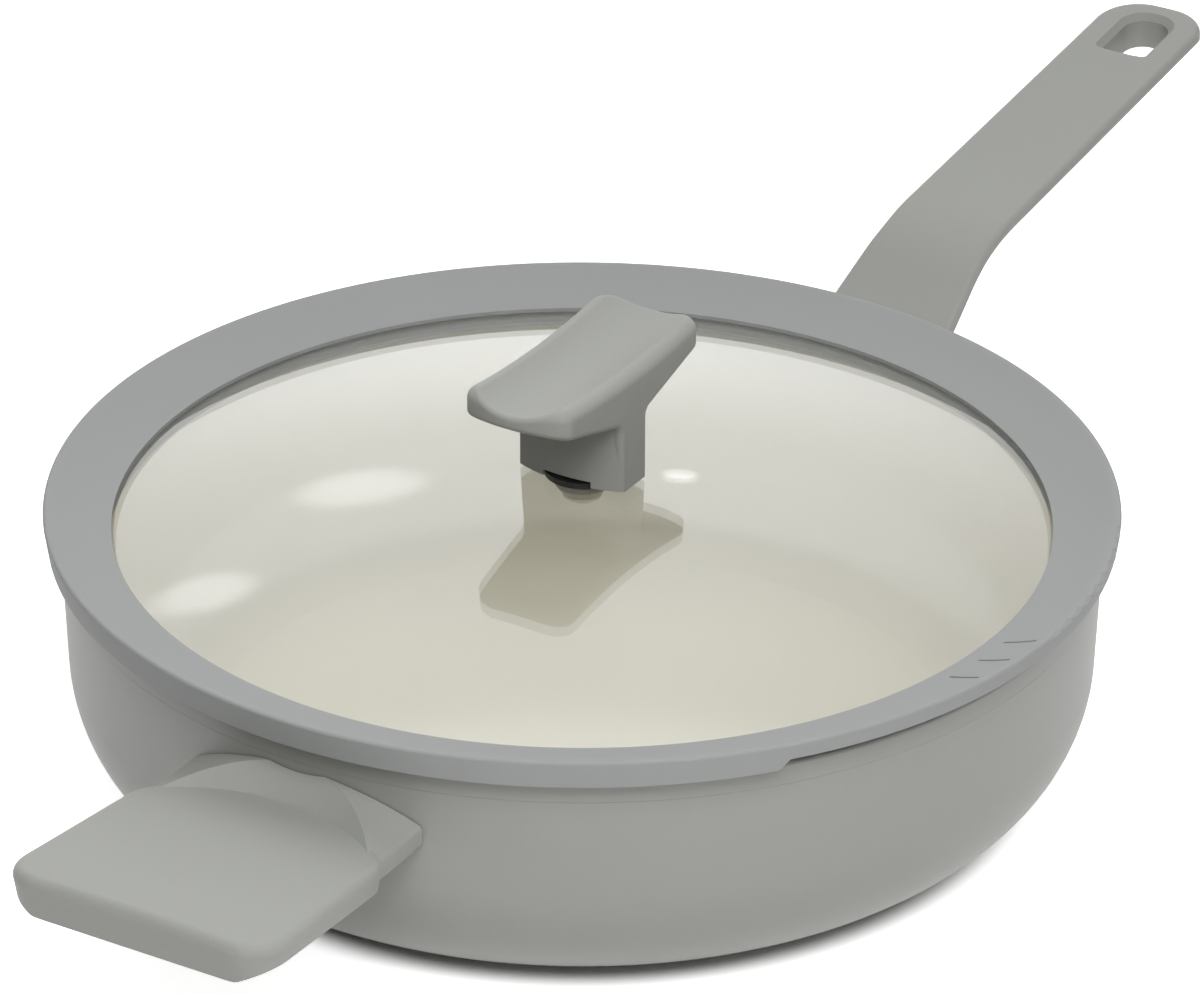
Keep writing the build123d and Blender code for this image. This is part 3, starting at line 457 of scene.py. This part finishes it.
class SAUTEPAN_OT_stage(bpy.types.Operator):
    """Set up the surroundings, the floor, the lamps and the camera"""
    bl_idname = "sautepan.stage"
    bl_label = "Stage"

    def execute(self, context):
        stage = settings("pan_stage")
        scene = context.scene
        scene.view_settings.view_transform = "Standard"
        self.make_surroundings(scene, stage)
        self.make_floor(stage)
        self.make_lamps(stage)
        self.make_camera(scene, stage)
        return {"FINISHED"}

    def make_surroundings(self, scene, stage):
        """White backdrop for camera and gloss, and far less light for all other rays."""
        world = bpy.data.worlds.new("surroundings")
        scene.world = world
        world.use_nodes = True
        tree = world.node_tree
        back = tree.nodes["Background"]
        set_values(back, {"Color": with_alpha(stage.tint)})
        sky = node(tree, "ShaderNodeTexCoord").outputs["Generated"]
        glow = self.patch(tree, sky, stage.glow_towards, stage.glow_outer, stage.glow_inner)
        backdrop = math_node(tree, "MULTIPLY_ADD", glow, stage.glow, stage.backdrop)
        for towards, radius, strength in window_glints:
            glint = self.patch(tree, sky, towards, radius, radius * stage.glint_core)
            backdrop = math_node(tree, "MULTIPLY_ADD", glint, strength, backdrop)
        mirrored = rays_of(tree, "Is Camera Ray", "Is Glossy Ray")
        level = math_node(tree, "MULTIPLY", mirrored, backdrop)
        through = math_node(tree, "MULTIPLY", rays_of(tree, "Is Transmission Ray"), stage.inside_light)
        for least in (through, stage.surroundings):
            level = math_node(tree, "MAXIMUM", level, least)
        tree.links.new(level, back.inputs["Strength"])

    def patch(self, tree, sky, towards, outer, inner):
        """A soft round patch of the sky, from 0 at its outer angle to 1 at its inner one."""
        facing = node(tree, "ShaderNodeVectorMath", operation="DOT_PRODUCT")
        facing.inputs[1].default_value = Vector(towards).normalized()
        tree.links.new(sky, facing.inputs[0])
        return smooth_step(tree, facing.outputs["Value"], math.cos(outer), math.cos(inner))

    def make_floor(self, stage):
        """Pale floor that glows white away from the pan. Near the pan's foot the glow is held back, so the
        pan's real shadow shows there, darkened further by painted shade.
        """
        bpy.ops.mesh.primitive_circle_add(vertices=stage.floor_sides, radius=stage.floor_radius,
                                          fill_type="NGON")
        floor = bpy.context.object
        floor.name = "floor"
        made, tree, shader = new_material("pale_floor")
        set_values(shader, {"Base Color": with_alpha(stage.floor), "Roughness": stage.floor_rough,
                            "Specular IOR Level": stage.floor_specular})
        glow = node(tree, "ShaderNodeEmission")
        seen = rays_of(tree, "Is Camera Ray", "Is Glossy Ray", "Is Transmission Ray")
        place = node(tree, "ShaderNodeTexCoord")
        distance = node(tree, "ShaderNodeVectorMath", operation="LENGTH")
        tree.links.new(place.outputs["Object"], distance.inputs[0])
        # Painted shade: no glow within shade_start of the axis, full glow from shade_end, so the floor around
        # the pan's foot stays darker
        past_painted_shade = smooth_step(tree, distance.outputs["Value"], stage.shade_start, stage.shade_end)
        lift = math_node(tree, "MULTIPLY", math_node(tree, "MULTIPLY", seen, past_painted_shade), stage.floor_glow)
        tree.links.new(lift, glow.inputs["Strength"])
        both = node(tree, "ShaderNodeAddShader")
        tree.links.new(shader.outputs["BSDF"], both.inputs[0])
        tree.links.new(glow.outputs["Emission"], both.inputs[1])
        from_below = node(tree, "ShaderNodeNewGeometry").outputs["Backfacing"]
        see_through = node(tree, "ShaderNodeBsdfTransparent").outputs["BSDF"]
        show_surface(tree, mixed(tree, from_below, both.outputs["Shader"], see_through))
        floor.data.materials.append(made)

    def make_lamps(self, stage):
        """Square panels that light the pan and that neither camera, gloss nor glass shows."""
        for (name, place, size), power in zip(lamp_panels, stage.lamp_powers):
            bpy.ops.object.light_add(type="AREA", location=place)
            lamp = bpy.context.object
            lamp.name = name
            lamp.visible_camera = False
            lamp.visible_glossy = False
            lamp.visible_transmission = False
            lamp.data.shape = "SQUARE"
            lamp.data.size = size
            lamp.data.energy = power
            aim = Vector(stage.lamp_aim) - lamp.location
            lamp.rotation_euler = aim.to_track_quat("-Z", "Y").to_euler()

    def make_camera(self, scene, stage):
        """Long lens from above and beside the helper handle."""
        bpy.ops.object.camera_add(location=stage.camera_place)
        camera = bpy.context.object
        camera.data.lens = stage.lens
        camera.data.clip_end = stage.camera_reach
        aim = Vector(stage.camera_aim) - Vector(stage.camera_place)
        turn = aim.to_track_quat("-Z", "Y").to_matrix() @ Matrix.Rotation(stage.camera_roll, 3, "Z")
        camera.rotation_euler = turn.to_euler()
        scene.camera = camera


class SAUTEPAN_OT_pan(bpy.types.Operator):
    """Finish the pan's shell and the steel disc in its base"""
    bl_idname = "sautepan.pan"
    bl_label = "Pan and base"

    def execute(self, context):
        finish_node("pan_body", pan_shell_material())
        finish_node("induction_plate", spun_steel_material())
        return {"FINISHED"}


class SAUTEPAN_OT_grips(bpy.types.Operator):
    """Finish both handles and the knob"""
    bl_idname = "sautepan.grips"
    bl_label = "Handles and knob"

    def execute(self, context):
        finish = settings("grip_finish")
        coat = grained_material("soft_touch_coat", finish.coat, finish.rough, finish.grain,
                                finish.grain_depth)
        for name in ("long_handle", "helper_handle", "knob"):
            finish_node(name, coat)
        return {"FINISHED"}


class SAUTEPAN_OT_hardware(bpy.types.Operator):
    """Finish brackets, screws, washers and the knob's insert"""
    bl_idname = "sautepan.hardware"
    bl_label = "Brackets and fasteners"

    def execute(self, context):
        finish = settings("metal_finish")
        stamped = metal_material("stamped_steel", finish.steel, finish.bracket_rough)
        bright = metal_material("screw_steel", finish.steel, finish.screw_rough)
        for name in ("long_handle_bracket", "helper_handle_bracket"):
            finish_node(name, stamped)
        for name in ("long_handle_screw", "long_handle_screw_washer", "helper_handle_screws",
                     "helper_handle_screw_washers", "lid_screw", "lid_screw_washer"):
            finish_node(name, bright)
        finish_node("knob_insert", metal_material("turned_brass", finish.brass, finish.brass_rough))
        return {"FINISHED"}


class SAUTEPAN_OT_lid(bpy.types.Operator):
    """Finish the glass, the silicone rim, the knob's washer and the seal"""
    bl_idname = "sautepan.lid"
    bl_label = "Lid"

    def execute(self, context):
        finish = settings("lid_finish")
        finish_node("glass_lid", glass_material())
        for piece, name, colour, rough, specular in (
            ("silicone_rim", "grey_silicone", finish.silicone, finish.silicone_rough,
             finish.silicone_specular),
            ("knob_washer", "black_silicone", finish.washer, finish.washer_rough, plain_specular),
            ("lid_screw_seal", "clear_silicone", finish.seal, finish.seal_rough, plain_specular),
        ):
            finish_node(piece, grained_material(name, colour, rough, finish.grain, finish.grain_depth,
                                                specular=specular))
        return {"FINISHED"}


class SAUTEPAN_OT_rim(bpy.types.Operator):
    """Round the silicone rim: keep the part with its gap and marks, and spin the rest from its section"""
    bl_idname = "sautepan.rim"
    bl_label = "Silicone rim"

    def execute(self, context):
        shape = settings("rim_shape")
        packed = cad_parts["silicone_rim"]
        rim = packed.copy()
        rim.data = packed.data.copy()
        rim.name = "round_silicone_rim"
        context.collection.objects.link(rim)
        bpy.ops.object.select_all(action="DESELECT")
        rim.select_set(True)
        context.view_layer.objects.active = rim
        bpy.ops.mesh.customdata_custom_splitnormals_clear()
        bpy.ops.object.mode_set(mode="EDIT")
        bpy.ops.mesh.select_all(action="SELECT")
        bpy.ops.mesh.remove_doubles(threshold=shape.merge)
        self.cut(shape.kept_from, clear_inner=True)
        self.cut(shape.kept_to, clear_outer=True)
        sweep = math.tau - (shape.kept_to - shape.kept_from)
        bpy.ops.mesh.spin(steps=shape.steps, angle=-sweep, center=(0.0, 0.0, 0.0), axis=(0.0, 0.0, 1.0))
        bpy.ops.mesh.select_all(action="SELECT")
        bpy.ops.mesh.remove_doubles(threshold=shape.weld)
        bpy.ops.mesh.normals_make_consistent(inside=False)
        bpy.ops.object.mode_set(mode="OBJECT")
        bpy.ops.object.shade_smooth_by_angle(angle=shape.crease)
        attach(rim, "lid")
        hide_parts("silicone_rim")
        return {"FINISHED"}

    def cut(self, angle, **cleared):
        """Cut the rim along the upright plane through the lid's axis at an angle."""
        bpy.ops.mesh.select_all(action="SELECT")
        across = (-math.sin(angle), math.cos(angle), 0.0)
        bpy.ops.mesh.bisect(plane_co=(0.0, 0.0, 0.0), plane_no=across, **cleared)


class SAUTEPAN_PT_panel(bpy.types.Panel):
    """Lists the operators in the order in which they run"""
    bl_idname = "SAUTEPAN_PT_panel"
    bl_label = "Saute Pan"
    bl_space_type = "VIEW_3D"
    bl_region_type = "UI"
    bl_category = "Saute Pan"

    def draw(self, context):
        for operator in operators:
            self.layout.operator(operator.bl_idname)


property_groups = {
    "pan_finish": PanFinish,
    "metal_finish": MetalFinish,
    "grip_finish": GripFinish,
    "lid_finish": LidFinish,
    "rim_shape": RimShape,
    "pan_stage": StageSettings,
}
operators = (
    SAUTEPAN_OT_stage,
    SAUTEPAN_OT_pan,
    SAUTEPAN_OT_grips,
    SAUTEPAN_OT_hardware,
    SAUTEPAN_OT_lid,
    SAUTEPAN_OT_rim,
)
classes = (*property_groups.values(), *operators, SAUTEPAN_PT_panel)


def register():
    for item in classes:
        bpy.utils.register_class(item)
    for name, group in property_groups.items():
        setattr(bpy.types.Scene, name, PointerProperty(type=group))


def unregister():
    for name in property_groups:
        delattr(bpy.types.Scene, name)
    for item in reversed(classes):
        bpy.utils.unregister_class(item)


def main():
    register()
    bpy.ops.object.select_all(action="DESELECT")
    bpy.ops.sautepan.stage()
    bpy.ops.sautepan.pan()
    bpy.ops.sautepan.grips()
    bpy.ops.sautepan.hardware()
    bpy.ops.sautepan.lid()
    bpy.ops.sautepan.rim()


if __name__ == "__main__":
    main()
